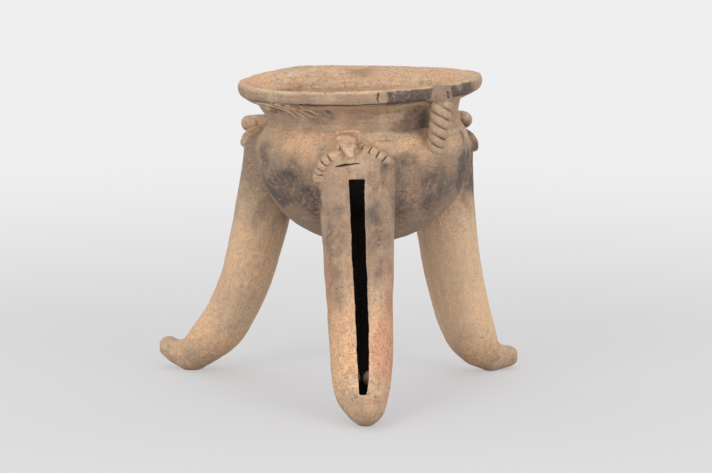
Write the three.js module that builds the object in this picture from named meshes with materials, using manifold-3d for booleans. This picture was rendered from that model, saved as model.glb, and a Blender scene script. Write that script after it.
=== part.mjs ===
// Tripod rattle vessel: a hand-built, fired-clay bowl with a flared rim, two twisted rope handles and
// three long hollow legs. Each leg has a tall slit in its outer face, an upturned toe, loose clay
// pellets inside, and a small animal figure that clasps the top of the leg.
//
// Millimetres, +Z up. The front leg points to -Y, and the origin is on the ground, at the centre of
// the box round the whole vessel. The pieces are the ones the potter made one by one and luted together.

import * as THREE from "three";
import { mergeVertices } from "three/addons/utils/BufferGeometryUtils.js";
import Module from "manifold-3d";

const wasm = await Module();
wasm.setup();

// Driving dimensions

const SEAM = 0.3; // gap between two pieces that are luted together
const LEAN = 2; // degrees that the bowl, neck and rim lean towards the left leg

const BOWL_RADIUS = 86.6; // at the belly, the widest level
const BOWL_BELLY_Z = 196.5;
const BOWL_DEPTH = 75; // from the belly down to the round base
const BOWL_WALL = 7.5;
const SHOULDER_RISE = 31; // height of the arc that the shoulder follows
const SHOULDER_REACH = 24.6; // its half-width

const NECK_BASE_Z = 221.2;
const NECK_HEIGHT = 17.4;
const NECK_FLARE = 5.4; // how much wider the neck is at its top
const NECK_WALL = 6.5;

const RIM_OVERHANG = 12.4; // how far the rim reaches past the belly
const RIM_HEIGHT = 17.5;
const RIM_LIP = 10.4; // height of its outer face
const LIP_ROUND = 2.6; // rounding of that face's edges

const HIP_Z = 197;
const LEG_HALF_THICK = 20; // half of the leg along the radius, at the shin
const LEG_HALF_WIDE = 24.3; // half of the leg across it, at the shin
const HIP_THICKER = 3.5; // how much the half thickness gains up to the hip
const HIP_WIDER = 7.7; // how much the half width gains up to the hip
const ANKLE_THINNER = 6.5; // how much the half thickness loses down to the toe
const ANKLE_NARROWER = 12; // how much the half width loses down to the toe
const LEG_WALL = 6.5;
const LEG_DOME = 13; // rounded top, above the hip
const LEG_TIP = 8; // rounded end, past the foot
const KNEE_DROP = 88; // length of the nearly straight thigh
const FOOT_Z = 12; // height of the centreline at the foot, low enough for the soles to wear flat
const ANKLE_RISE = 4;
const HOLLOW_END = 0.93; // share of the leg that is hollow
const HOLLOW_TIP = 5;

const SLIT_START = 0.045; // shares of the leg's length
const SLIT_END = 0.96;
const SLIT_WIDTH = 11.4; // at its top
const SLIT_NARROWS = 2; // down to the knee
const SLIT_CLOSES = 6.4; // from the knee to its pointed end

const TOE_LENGTH = 22;
const TOE_RISE = 0.8; // how far the toe's root lies above the leg's centreline
const TOE_RADIUS = 11.5;
const TOE_TIP_RADIUS = 7.6;

const PELLET_RADIUS = 6.6; // wider than the slit, so that no pellet drops out
const PELLET_PLACE = 0.725; // share of the leg where the tapering hollow stops the pellets
const PELLET_SPACING = 13.7;
const PELLET_SINK = 1.9; // how far the pellets lie towards the lower wall

const HEAD_LENGTH = 27;
const HEAD_HALF_WIDE = 7.6;
const HEAD_HALF_HIGH = 8.2;
const HEAD_Z = 214.5;
const HEAD_INSET = 10.6; // how far inside the belly's radius the head grows out of the shoulder
const SNOUT_DROOP = 2.5;
const EYE_RADIUS = 3.4;

const ARM_HALF_WIDE = 4.2;
const ARM_HALF_THICK = 3.4;
const ARM_LIFT = 0.8; // how far the arm's centre stands off the leg
const FINGER_CUTS = 3;
const FINGER_CUT_WIDTH = 1.1;
const FINGER_CUT_DEPTH = 2.2;

const STRAND_RADIUS = 3.5; // two strands are twisted into each handle
const STRAND_OFFSET = 4.6; // from the handle's centre to a strand's centre
const STRAND_LEAD = 18; // handle length that one full turn takes
const HANDLE_CLEAR = 2; // how far the handle's foot stands past the belly's radius
const HANDLE_PAD = 8.3; // radius of the clay smeared over each end
const TOP_PAD_LENGTH = 11;
const FOOT_PAD_LENGTH = 17;

// Each leg was shaped by eye. Its azimuth is counted from the front towards the right, in degrees.
// Its centreline starts "inset" inside the belly's radius and ends "reach" past it. "knee" and "ankle" are
// how far it bows in between, "sway" how far its top stands to one side, and "toeTurn" and "toeLift" how
// far the toe turns aside and up. "head" turns the figure's head, and an arm spreads and drops.
const LEGS = [
  {
    name: "front",
    azimuth: -0.6,
    inset: 7.6,
    reach: 60.4,
    knee: 7,
    ankle: 25,
    sway: -5,
    toeTurn: 9,
    toeLift: 5,
    head: -8,
    arms: { left: { spread: 1.25, drop: 4 }, right: { spread: 1, drop: 0 } },
  },
  {
    name: "right",
    azimuth: 124,
    inset: 10.6,
    reach: 40.9,
    knee: 2,
    ankle: 22,
    sway: 0,
    toeTurn: 0,
    toeLift: -1,
    head: 1,
    arms: { left: { spread: 0.75, drop: 2 }, right: { spread: 1, drop: 1 } },
  },
  {
    name: "left",
    azimuth: -118,
    inset: 7.6,
    reach: 79.9,
    knee: 13,
    ankle: 36,
    sway: 0,
    toeTurn: 0,
    toeLift: 7,
    head: -1,
    arms: { left: { spread: 1.1, drop: 1 }, right: { spread: 0.75, drop: 0 } },
  },
];
const HANDLES = [
  { name: "right", azimuth: 43.5 },
  { name: "back", azimuth: -148 },
];
const HANDLE_SLANT = 2; // degrees that a handle's foot lies beside its top

// Number of sides and steps of the round forms

const TURN_SIDES = 36;
const LEG_SIDES = 18;
const LEG_STEPS = 10;
const SMALL_SIDES = 8;
const STRAND_SIDES = 6;
const STRAND_STEPS = 30;

// Materials

const clay = (colour) => new THREE.MeshStandardMaterial({ color: colour, roughness: 0.85, metalness: 0 });
const tanClay = clay("#b99872");
const smokedClay = clay("#8a7563");
const greyClay = clay("#a3917c");
const pelletClay = clay("#80695a");

// Solids and geometries

const SIDE = new THREE.Vector3(0, 1, 0);
const IDENTITY = new THREE.Matrix4();
const rad = THREE.MathUtils.degToRad;

function solidOf(geometry) {
  const bare = new THREE.BufferGeometry().setAttribute("position", geometry.getAttribute("position"));
  if (geometry.index) bare.setIndex(geometry.index);
  const merged = mergeVertices(bare, 1e-4);
  return new wasm.Manifold(
    new wasm.Mesh({
      numProp: 3,
      vertProperties: new Float32Array(merged.attributes.position.array),
      triVerts: new Uint32Array(merged.index.array),
    }),
  );
}

function geometryOf(solid) {
  const mesh = solid.getMesh();
  return new THREE.BufferGeometry()
    .setAttribute("position", new THREE.BufferAttribute(mesh.vertProperties, 3))
    .setIndex(new THREE.BufferAttribute(mesh.triVerts, 1));
}

// A geometry written in the frame "from", rewritten in the frame "to".
const inFrame = (geometry, from, to) =>
  geometry.clone().applyMatrix4(to.clone().invert().multiply(from));

// The piece without what its neighbours fill. Each cutter is [geometry, its frame].
function cutBack(geometry, frame, cutters) {
  let solid = solidOf(geometry);
  for (const [cutter, from] of cutters) solid = solid.subtract(solidOf(inFrame(cutter, from, frame)));
  const bodies = solid.decompose();
  bodies.sort((a, b) => b.volume() - a.volume());
  return geometryOf(bodies[0]);
}

// A closed skin over rings of points. Each ring runs counter-clockwise about the way the rings follow.
function loft(rings) {
  const count = rings[0].length;
  const middle = (ring) =>
    ring.reduce((sum, p) => sum.add(p), new THREE.Vector3()).divideScalar(count);
  const points = [...rings.flat(), middle(rings[0]), middle(rings.at(-1))];
  const start = points.length - 2;
  const end = points.length - 1;
  const lastRing = (rings.length - 1) * count;
  const index = [];
  for (let i = 0; i < count; i++) {
    const j = (i + 1) % count;
    for (let k = 0; k < lastRing; k += count) {
      index.push(k + i, k + j, k + count + j);
      index.push(k + i, k + count + j, k + count + i);
    }
    index.push(start, j, i);
    index.push(end, lastRing + i, lastRing + j);
  }
  return new THREE.BufferGeometry().setFromPoints(points).setIndex(index);
}

const CAP_ANGLES = [18, 42, 66].map(rad);

// The stations of a tube: places on its curve, with a rounded cap of stations at each end.
// "at" is the share along the curve, "past" the distance beyond its end, "scale" the section's size.
function stations(steps, startCap, endCap, from = 0, to = 1) {
  const cap = (at, length, sign) =>
    CAP_ANGLES.map((a) => ({ at, past: sign * length * Math.cos(a), scale: Math.sin(a) }));
  const body = Array.from({ length: steps + 1 }, (_, i) => ({
    at: from + ((to - from) * i) / steps,
    past: 0,
    scale: 1,
  }));
  return [...cap(from, startCap, -1), ...body, ...cap(to, endCap, 1).reverse()];
}

// A station's centre, direction, outward normal and side, on a curve that runs away from the bowl.
function stationFrame(curve, { at, past }) {
  const along = curve.getTangent(at);
  const centre = curve.getPoint(at).addScaledVector(along, past);
  const out = along.clone().cross(SIDE).normalize();
  return { centre, along, out, side: SIDE };
}

// The point of a station's oval section at an angle from its outward normal.
function sectionPoint(frame, halfOut, halfSide, angle) {
  return frame.centre
    .clone()
    .addScaledVector(frame.out, halfOut * Math.cos(angle))
    .addScaledVector(frame.side, -halfSide * Math.sin(angle));
}

// An oval tube: "halves" gives the half sizes [outward, sideways] at a share along the curve.
function ovalTube(curve, places, halves, sides, grow = 0) {
  const rings = places.map((place) => {
    const frame = stationFrame(curve, place);
    const [halfOut, halfSide] = halves(place.at).map((half) => (half + grow) * place.scale);
    return Array.from({ length: sides }, (_, i) =>
      sectionPoint(frame, halfOut, halfSide, (2 * Math.PI * i) / sides),
    );
  });
  return loft(rings);
}

// A closed profile of [radius, height] points, turned about the Z axis.
function turned(profile) {
  const points = profile.map(([radius, height]) => new THREE.Vector2(radius, height));
  return new THREE.LatheGeometry(points, TURN_SIDES).rotateX(Math.PI / 2);
}

// Bowl, neck and rim

const neckBaseRadius =
  BOWL_RADIUS -
  SHOULDER_REACH +
  SHOULDER_REACH * Math.sqrt(1 - ((NECK_BASE_Z - BOWL_BELLY_Z) / SHOULDER_RISE) ** 2);

// The bowl's outside from the base up to the neck, grown by "grow" along its normals.
function bowlOutline(grow = 0, baseSteps = 7, shoulderSteps = 4) {
  const points = [];
  for (let i = 0; i <= baseSteps; i++) {
    const angle = (Math.PI / 2) * (i / baseSteps);
    const radius = BOWL_RADIUS * Math.sin(angle);
    const drop = BOWL_DEPTH * Math.cos(angle);
    const normal = new THREE.Vector2(radius / BOWL_RADIUS ** 2, -drop / BOWL_DEPTH ** 2).normalize();
    points.push([radius + grow * normal.x, BOWL_BELLY_Z - drop + grow * normal.y]);
  }
  const top = Math.asin((NECK_BASE_Z - BOWL_BELLY_Z) / SHOULDER_RISE);
  for (let i = 1; i <= shoulderSteps; i++) {
    const angle = (top * i) / shoulderSteps;
    const out = SHOULDER_REACH * Math.cos(angle);
    const rise = SHOULDER_RISE * Math.sin(angle);
    const normal = new THREE.Vector2(out / SHOULDER_REACH ** 2, rise / SHOULDER_RISE ** 2).normalize();
    points.push([
      BOWL_RADIUS - SHOULDER_REACH + out + grow * normal.x,
      BOWL_BELLY_Z + rise + grow * normal.y,
    ]);
  }
  return points;
}

function bowlGeometry() {
  const inside = bowlOutline(-BOWL_WALL).filter(([, height]) => height < NECK_BASE_Z - SEAM);
  const seat = [neckBaseRadius - NECK_WALL, NECK_BASE_Z];
  return turned([...bowlOutline(), seat, ...inside.reverse()]);
}

// The neck's outside, from its base to its top, with a hollow flare.
function neckOutline(grow = 0, steps = 4) {
  return Array.from({ length: steps + 1 }, (_, i) => {
    const share = i / steps;
    const flare = NECK_FLARE * share ** 1.7;
    return [neckBaseRadius + flare + grow, NECK_BASE_Z + SEAM + (NECK_HEIGHT - SEAM) * share];
  });
}

function neckGeometry() {
  const outline = neckOutline();
  return turned([...outline, ...neckOutline(-NECK_WALL).reverse(), outline[0]]);
}

const rimBaseZ = NECK_BASE_Z + NECK_HEIGHT + SEAM;
const rimTopZ = rimBaseZ + RIM_HEIGHT;
const rimBaseRadius = neckBaseRadius + NECK_FLARE;
const rimRadius = BOWL_RADIUS + RIM_OVERHANG;

// The rim's section: a sloping underside, an upright outer face, and a dished inner face.
function rimOutline(grow = 0) {
  const lipBaseZ = rimTopZ - RIM_LIP;
  const underside = [
    [rimBaseRadius + grow, rimBaseZ - grow],
    [rimRadius - LIP_ROUND * 1.8 + grow, lipBaseZ - LIP_ROUND - grow],
  ];
  const lip = [
    [rimRadius - LIP_ROUND * 0.3 + grow, lipBaseZ + LIP_ROUND * 0.3 - grow],
    [rimRadius + grow, rimTopZ - RIM_LIP / 2],
    [rimRadius - LIP_ROUND * 0.25 + grow, rimTopZ - LIP_ROUND * 0.7 + grow],
    [rimRadius - LIP_ROUND, rimTopZ + grow],
    [rimRadius - LIP_ROUND * 2.5, rimTopZ - LIP_ROUND * 0.35 + grow],
  ];
  const innerRadius = rimBaseRadius - NECK_WALL - grow;
  const inner = [
    [innerRadius + (rimRadius - innerRadius) * 0.45, rimTopZ - RIM_HEIGHT * 0.2 + grow],
    [innerRadius + (rimRadius - innerRadius) * 0.15, rimTopZ - RIM_HEIGHT * 0.55 + grow],
    [innerRadius, rimBaseZ - grow],
  ];
  return [...underside, ...lip, ...inner];
}

const rimGeometry = (grow = 0) => turned([...rimOutline(grow), rimOutline(grow)[0]]);

// Everything up to the neck's top as one filled body, to cut what is luted onto it.
function vesselCutter() {
  const top = NECK_BASE_Z + NECK_HEIGHT;
  return turned([...bowlOutline(SEAM), ...neckOutline(SEAM), [0, top]]);
}

// Legs, toes and pellets

function legCurve(leg) {
  const foot = new THREE.Vector3(BOWL_RADIUS + leg.reach, 0, FOOT_Z);
  const hip = new THREE.Vector3(BOWL_RADIUS - leg.inset, leg.sway, HIP_Z);
  return new THREE.CubicBezierCurve3(
    hip,
    hip.clone().add(new THREE.Vector3(leg.knee, -leg.sway / 3, -KNEE_DROP)),
    foot.clone().add(new THREE.Vector3(-leg.ankle, 0, ANKLE_RISE)),
    foot,
  );
}

// The leg's half sizes at a share of its length: widest at the hip, even at the shin, pinched above the toe.
const legHalves = (at) => [
  LEG_HALF_THICK + HIP_THICKER * (1 - at) ** 3 - ANKLE_THINNER * at ** 4,
  LEG_HALF_WIDE + HIP_WIDER * (1 - at) ** 3 - ANKLE_NARROWER * at ** 6,
];

function legOutside(leg, grow = 0) {
  const places = stations(LEG_STEPS, LEG_DOME + grow, LEG_TIP + grow);
  return ovalTube(legCurve(leg), places, legHalves, LEG_SIDES, grow);
}

function legHollow(leg) {
  const places = stations(LEG_STEPS - 3, LEG_DOME - LEG_WALL, HOLLOW_TIP, 0, HOLLOW_END);
  return ovalTube(legCurve(leg), places, legHalves, LEG_SIDES - 4, -LEG_WALL);
}

const slitWidth = (share) => SLIT_WIDTH - SLIT_NARROWS * share - SLIT_CLOSES * share ** 5;

// The slit's cutter: a blade that starts at the leg's centreline and runs out past its outer face.
function legSlit(leg, steps = 10) {
  const curve = legCurve(leg);
  const rings = [];
  for (let i = 0; i <= steps; i++) {
    const share = i / steps;
    const frame = stationFrame(curve, { at: SLIT_START + (SLIT_END - SLIT_START) * share, past: 0 });
    const half = slitWidth(share) / 2;
    const far = LEG_HALF_THICK * 2;
    const corner = (out, side) =>
      frame.centre.clone().addScaledVector(frame.out, out).addScaledVector(SIDE, side);
    rings.push([corner(far, half), corner(far, -half), corner(0, -half), corner(0, half)]);
  }
  return loft(rings);
}

// The ground, as a slab to cut the soles flat.
function groundSlab() {
  const depth = 20;
  const span = BOWL_RADIUS * 9;
  return new THREE.BoxGeometry(span, span, depth).translate(0, 0, -depth / 2);
}

function legGeometry(leg, frame) {
  const cutters = [
    [legHollow(leg), frame],
    [legSlit(leg), frame],
    [vesselCutter(), vesselFrame],
    [groundSlab(), IDENTITY],
  ];
  return cutBack(legOutside(leg), frame, cutters);
}

function toeGeometry(leg, frame) {
  const root = new THREE.Vector3(BOWL_RADIUS + leg.reach, 0, FOOT_Z + TOE_RISE);
  const ahead = new THREE.Vector3(Math.cos(rad(leg.toeTurn)), Math.sin(rad(leg.toeTurn)), 0);
  const tip = root.clone().addScaledVector(ahead, TOE_LENGTH);
  const curve = new THREE.QuadraticBezierCurve3(
    root,
    root.clone().lerp(tip, 0.55),
    tip.clone().setZ(tip.z + leg.toeLift),
  );
  const halves = (at) => Array(2).fill(TOE_RADIUS + (TOE_TIP_RADIUS - TOE_RADIUS) * at);
  const geometry = ovalTube(curve, stations(3, 1, TOE_TIP_RADIUS * 0.85), halves, SMALL_SIDES + 2);
  return cutBack(geometry, frame, [[legOutside(leg, SEAM), frame]]);
}

function pelletPosition(leg, sign) {
  const frame = stationFrame(legCurve(leg), { at: PELLET_PLACE, past: 0 });
  return frame.centre
    .addScaledVector(frame.out, -PELLET_SINK)
    .addScaledVector(SIDE, (sign * PELLET_SPACING) / 2);
}

// Animal figures: head, eyes and arms

const headRoot = BOWL_RADIUS - HEAD_INSET;

function headShape(grow = 0) {
  const curve = new THREE.QuadraticBezierCurve3(
    new THREE.Vector3(headRoot, 0, HEAD_Z),
    new THREE.Vector3(headRoot + HEAD_LENGTH * 0.7, 0, HEAD_Z + 1),
    new THREE.Vector3(headRoot + HEAD_LENGTH, 0, HEAD_Z - SNOUT_DROOP),
  );
  const halves = (at) => [HEAD_HALF_HIGH * (1 - 0.2 * at ** 3), HEAD_HALF_WIDE * (1 - 0.2 * at ** 3)];
  return ovalTube(curve, stations(4, 2, 5 + grow), halves, SMALL_SIDES + 2, grow);
}

const headGeometry = (leg, frame) =>
  cutBack(headShape(), frame, [
    [vesselCutter(), vesselFrame],
    [legOutside(leg, SEAM), turnTo(leg.azimuth)],
  ]);

function eyeGeometry(sign, frame) {
  const eye = new THREE.SphereGeometry(EYE_RADIUS, SMALL_SIDES, 5).scale(1, 0.6, 1);
  eye.translate(headRoot + HEAD_LENGTH * 0.86, sign * HEAD_HALF_WIDE * 0.86, HEAD_Z + 0.6);
  return cutBack(eye, frame, [[headShape(SEAM), frame]]);
}

// The way an arm runs over the leg's rounded top: [height above the hip, degrees round the leg].
const ARM_PATH = [
  [10.8, 24],
  [8.3, 30],
  [5, 39],
  [0, 49],
  [-4.5, 54],
];

function armCurve(leg, sign) {
  const curve = legCurve(leg);
  const { spread, drop } = sign > 0 ? leg.arms.left : leg.arms.right;
  const points = ARM_PATH.map(([height, degrees], i) => {
    const above = height - (drop * i) / (ARM_PATH.length - 1);
    const onDome = Math.max(above, 0);
    const place = {
      at: Math.max(-above, 0) / (HIP_Z - FOOT_Z),
      past: -onDome,
      scale: Math.sqrt(1 - (onDome / LEG_DOME) ** 2),
    };
    const [halfOut, halfSide] = legHalves(place.at).map((half) => half * place.scale + ARM_LIFT);
    return sectionPoint(stationFrame(curve, place), halfOut, halfSide, sign * rad(degrees * spread));
  });
  return new THREE.CatmullRomCurve3(points);
}

// Thin blades across the arm that part its fingers.
function fingerCuts(curve) {
  return Array.from({ length: FINGER_CUTS }, (_, i) => {
    const at = 0.42 + (0.46 * i) / (FINGER_CUTS - 1);
    const along = curve.getTangent(at);
    const up = new THREE.Vector3(0.8, 0, 0.6).projectOnPlane(along).normalize();
    const across = up.clone().cross(along);
    const centre = curve.getPoint(at).addScaledVector(up, ARM_HALF_THICK);
    const blade = new THREE.BoxGeometry(FINGER_CUT_WIDTH, ARM_HALF_WIDE * 4, FINGER_CUT_DEPTH * 2);
    return blade.applyMatrix4(new THREE.Matrix4().makeBasis(along, across, up).setPosition(centre));
  });
}

function armGeometry(leg, sign, frame, headFrame) {
  const curve = armCurve(leg, sign);
  const rings = stations(6, 2, 2.6).map((place) => {
    const along = curve.getTangent(place.at);
    const centre = curve.getPoint(place.at).addScaledVector(along, place.past);
    const up = new THREE.Vector3(0.8, 0, 0.6).projectOnPlane(along).normalize();
    const across = along.clone().cross(up);
    return Array.from({ length: SMALL_SIDES }, (_, i) => {
      const angle = (2 * Math.PI * i) / SMALL_SIDES;
      return centre
        .clone()
        .addScaledVector(up, ARM_HALF_THICK * place.scale * Math.cos(angle))
        .addScaledVector(across, ARM_HALF_WIDE * place.scale * Math.sin(angle));
    });
  });
  const cutters = fingerCuts(curve).map((cut) => [cut, frame]);
  cutters.push([legOutside(leg, SEAM), frame]);
  cutters.push([vesselCutter(), vesselFrame]);
  cutters.push([headShape(SEAM), headFrame]);
  return cutBack(loft(rings), frame, cutters);
}

// Rope handles

const handlePoint = (radius, height, degrees) =>
  new THREE.Vector3(
    radius * Math.cos(rad(degrees)),
    radius * Math.sin(rad(degrees)),
    height,
  );

// The handle's centreline, from under the lip down to the shoulder, in a frame with X along its azimuth.
function handleCurve() {
  return new THREE.CatmullRomCurve3([
    handlePoint(rimRadius, rimBaseZ + 1, 0),
    handlePoint(rimRadius - 0.5, rimBaseZ - NECK_HEIGHT * 0.6, -HANDLE_SLANT * 0.3),
    handlePoint(rimRadius - 3.5, NECK_BASE_Z - 4, -HANDLE_SLANT * 0.65),
    handlePoint(BOWL_RADIUS + HANDLE_CLEAR, BOWL_BELLY_Z + 6, -HANDLE_SLANT),
  ]);
}

// One strand: a helix about the handle's centreline. Its turns are counted along the handle.
class StrandCurve extends THREE.Curve {
  constructor(phase) {
    super();
    this.handle = handleCurve();
    this.phase = phase;
    this.turns = this.handle.getLength() / STRAND_LEAD;
  }
  getPoint(t) {
    const along = this.handle.getTangentAt(t);
    const across = SIDE.clone().projectOnPlane(along).normalize();
    const out = across.clone().cross(along);
    const angle = this.phase + 2 * Math.PI * this.turns * t;
    return this.handle
      .getPointAt(t)
      .addScaledVector(out, STRAND_OFFSET * Math.cos(angle))
      .addScaledVector(across, -STRAND_OFFSET * Math.sin(angle));
  }
}

function strandGeometry(phase, frame) {
  const section = new THREE.Shape();
  for (let i = 0; i < STRAND_SIDES; i++) {
    const angle = (2 * Math.PI * i) / STRAND_SIDES;
    const [x, y] = [STRAND_RADIUS * Math.cos(angle), STRAND_RADIUS * Math.sin(angle)];
    if (i) section.lineTo(x, y);
    else section.moveTo(x, y);
  }
  const strand = new THREE.ExtrudeGeometry(section, {
    steps: STRAND_STEPS,
    extrudePath: new StrandCurve(phase),
    curveSegments: 1,
  });
  return cutBack(strand, frame, [
    [vesselCutter(), vesselFrame],
    [rimGeometry(SEAM), vesselFrame],
  ]);
}

// The clay smeared over one end of a handle: it runs on from the rope and dies out on the vessel.
function padGeometry(atTop, frame) {
  const handle = handleCurve();
  const end = atTop ? 0 : 1;
  const along = handle.getTangentAt(end).multiplyScalar(atTop ? -1 : 1);
  const start = handle.getPointAt(end).addScaledVector(along, SEAM + STRAND_RADIUS * 0.8);
  const length = atTop ? TOP_PAD_LENGTH : FOOT_PAD_LENGTH;
  const bend = atTop ? new THREE.Vector3(1.5, 0, 0) : new THREE.Vector3(0, 0, -5);
  const tip = start.clone().addScaledVector(along, length).add(bend);
  const curve = new THREE.QuadraticBezierCurve3(start, start.clone().addScaledVector(along, length / 2), tip);
  const rings = stations(4, 0.01, 3).map((place) => {
    const way = curve.getTangent(place.at);
    const centre = curve.getPoint(place.at).addScaledVector(way, place.past);
    const across = way.clone().cross(SIDE).normalize();
    const other = way.clone().cross(across);
    const half = HANDLE_PAD * place.scale * (1 - 0.35 * place.at);
    return Array.from({ length: SMALL_SIDES + 2 }, (_, i) => {
      const angle = (2 * Math.PI * i) / (SMALL_SIDES + 2);
      return centre
        .clone()
        .addScaledVector(across, half * Math.cos(angle))
        .addScaledVector(other, half * Math.sin(angle));
    });
  });
  return cutBack(loft(rings), frame, [
    [vesselCutter(), vesselFrame],
    [rimGeometry(SEAM), vesselFrame],
  ]);
}

// Assembly

// Turns +X to a compass direction, counted in degrees from the front (-Y) towards the right (+X).
const turnTo = (azimuth) => new THREE.Matrix4().makeRotationZ(rad(azimuth - 90));

// The frame of the leaning bowl, which pivots about the middle of its belly.
const vesselFrame = new THREE.Matrix4()
  .makeTranslation(0, 0, BOWL_BELLY_Z)
  .multiply(new THREE.Matrix4().makeRotationY(rad(-LEAN)))
  .multiply(new THREE.Matrix4().makeTranslation(0, 0, -BOWL_BELLY_Z));

function groupAt(matrix, ...children) {
  const group = new THREE.Group();
  group.applyMatrix4(matrix);
  if (children.length) group.add(...children);
  return group;
}

function piece(name, geometry, material) {
  geometry.computeVertexNormals();
  const mesh = new THREE.Mesh(geometry, material);
  mesh.name = name;
  return mesh;
}

function vesselGroup() {
  return groupAt(
    vesselFrame,
    piece("bowl", bowlGeometry(), smokedClay),
    piece("neck", neckGeometry(), greyClay),
    piece("rim", rimGeometry(), tanClay),
  );
}

function legGroup(leg) {
  const frame = turnTo(leg.azimuth);
  const headFrame = vesselFrame.clone().multiply(turnTo(leg.azimuth + leg.head));
  const group = groupAt(
    frame,
    piece(`${leg.name}_leg`, legGeometry(leg, frame), tanClay),
    piece(`${leg.name}_toe`, toeGeometry(leg, frame), tanClay),
  );
  for (const [sideName, sign] of [["left", -1], ["right", 1]]) {
    group.add(piece(`${leg.name}_arm_${sideName}`, armGeometry(leg, -sign, frame, headFrame), greyClay));
    const pellet = new THREE.SphereGeometry(PELLET_RADIUS, SMALL_SIDES + 2, SMALL_SIDES - 1);
    const ball = piece(`${leg.name}_pellet_${sideName}`, pellet, pelletClay);
    ball.position.copy(pelletPosition(leg, sign));
    group.add(ball);
  }
  return group;
}

function headGroup(leg) {
  const frame = vesselFrame.clone().multiply(turnTo(leg.azimuth + leg.head));
  return groupAt(
    frame,
    piece(`${leg.name}_head`, headGeometry(leg, frame), greyClay),
    piece(`${leg.name}_eye_left`, eyeGeometry(-1, frame), greyClay),
    piece(`${leg.name}_eye_right`, eyeGeometry(1, frame), greyClay),
  );
}

function handleGroup({ name, azimuth }) {
  const frame = vesselFrame.clone().multiply(turnTo(azimuth));
  return groupAt(
    frame,
    piece(`${name}_handle_strand_a`, strandGeometry(0, frame), greyClay),
    piece(`${name}_handle_strand_b`, strandGeometry(Math.PI, frame), greyClay),
    piece(`${name}_handle_top_pad`, padGeometry(true, frame), smokedClay),
    piece(`${name}_handle_foot_pad`, padGeometry(false, frame), smokedClay),
  );
}

const vessel = new THREE.Group();
vessel.add(vesselGroup(), ...LEGS.map(legGroup), ...LEGS.map(headGroup), ...HANDLES.map(handleGroup));

// The origin goes to the middle of the vessel's own box, on the ground.
const box = new THREE.Box3().setFromObject(vessel, true);
vessel.position.set(-(box.min.x + box.max.x) / 2, -(box.min.y + box.max.y) / 2, -box.min.z);

const root = new THREE.Group();
root.add(vessel);

export default root;
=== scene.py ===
# Tripod rattle vessel: the visual model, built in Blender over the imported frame.
#
# Each piece is a closed mesh on the zero level of a signed distance function. Lengths are millimetres in
# the vessel's own space until a mesh is written in metres. A piece that was luted onto another swells
# into it with a fillet, and all fired pieces share one clay, whose clouds lie in the vessel's space.

import math
from functools import partial

import bpy
import numpy as np
import openvdb
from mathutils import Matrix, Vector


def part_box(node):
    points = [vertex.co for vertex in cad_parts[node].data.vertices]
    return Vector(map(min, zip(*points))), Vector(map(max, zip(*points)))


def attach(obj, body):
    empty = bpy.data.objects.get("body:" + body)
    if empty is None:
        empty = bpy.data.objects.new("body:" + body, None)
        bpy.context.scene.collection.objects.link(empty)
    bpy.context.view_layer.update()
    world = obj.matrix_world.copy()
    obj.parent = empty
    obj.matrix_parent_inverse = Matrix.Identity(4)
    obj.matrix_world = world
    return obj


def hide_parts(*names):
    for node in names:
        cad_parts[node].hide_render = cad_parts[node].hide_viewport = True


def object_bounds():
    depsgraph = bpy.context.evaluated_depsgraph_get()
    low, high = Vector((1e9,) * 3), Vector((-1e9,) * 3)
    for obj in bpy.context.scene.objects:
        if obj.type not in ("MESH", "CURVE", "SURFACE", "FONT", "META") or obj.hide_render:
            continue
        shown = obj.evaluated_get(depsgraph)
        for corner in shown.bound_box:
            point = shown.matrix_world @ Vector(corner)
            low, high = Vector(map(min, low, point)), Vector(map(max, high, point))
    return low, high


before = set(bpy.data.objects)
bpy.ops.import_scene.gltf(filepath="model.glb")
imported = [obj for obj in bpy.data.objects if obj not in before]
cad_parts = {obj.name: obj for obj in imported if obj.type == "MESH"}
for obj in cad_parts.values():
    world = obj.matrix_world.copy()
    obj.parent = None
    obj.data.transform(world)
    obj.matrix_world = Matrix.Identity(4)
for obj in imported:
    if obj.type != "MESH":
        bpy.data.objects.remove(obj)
size_at_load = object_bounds()

# Sizes that the frame was made with

SHIFT = np.array([21.330, 38.155, 0.0])
LEAN = 2.0
BOWL_RADIUS = 86.6
BELLY_Z = 196.5
BOWL_DEPTH = 75.0
BOWL_WALL = 7.5
SHOULDER_RISE = 31.0
SHOULDER_REACH = 24.6
NECK_BASE_Z = 221.35
NECK_TOP_Z = 238.75
NECK_FLARE = 4.8
NECK_WALL = 6.5
HIP_Z = 197.0
FOOT_Z = 12.0
LEG_WALL = 6.5
PELLET_RADIUS = 6.6

LEGS = {
    "front": dict(azimuth=-0.6, hip=79.0, reach=147.0, knee=7.0, ankle=25.0, sway=-5.0,
                  toe_turn=9.0, head=-8.0),
    "right": dict(azimuth=124.0, hip=76.0, reach=127.5, knee=2.0, ankle=22.0, sway=0.0,
                  toe_turn=0.0, head=1.0),
    "left": dict(azimuth=-118.0, hip=79.0, reach=166.5, knee=13.0, ankle=36.0, sway=0.0,
                 toe_turn=0.0, head=-1.0),
}
HANDLES = {"right": 43.5, "back": -148.0}

# The fillet round a leg's top, the domes at a leg's hip and foot, and the height of finger marks
LEG_FILLET = 9.0
LEG_DOME = 13.0
LEG_TIP = 8.0
FINGER_MARKS = 0.8
# Room kept inside the frame's box
BOX_ROOM = 0.12


# Frames

def turned(degrees, axis):
    c, s = math.cos(math.radians(degrees)), math.sin(math.radians(degrees))
    return np.array({"y": [[c, 0, s], [0, 1, 0], [-s, 0, c]], "z": [[c, -s, 0], [s, c, 0], [0, 0, 1]]}[axis])


class Axes:
    """A local frame: the columns of "ways" are its axes, in the vessel's space."""

    def __init__(self, ways, origin):
        self.ways, self.origin = ways, origin

    def local(self, points):
        return ((points - self.origin) @ self.ways).astype(np.float32)

    def world(self, points):
        return np.asarray(points) @ self.ways.T + self.origin


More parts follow.
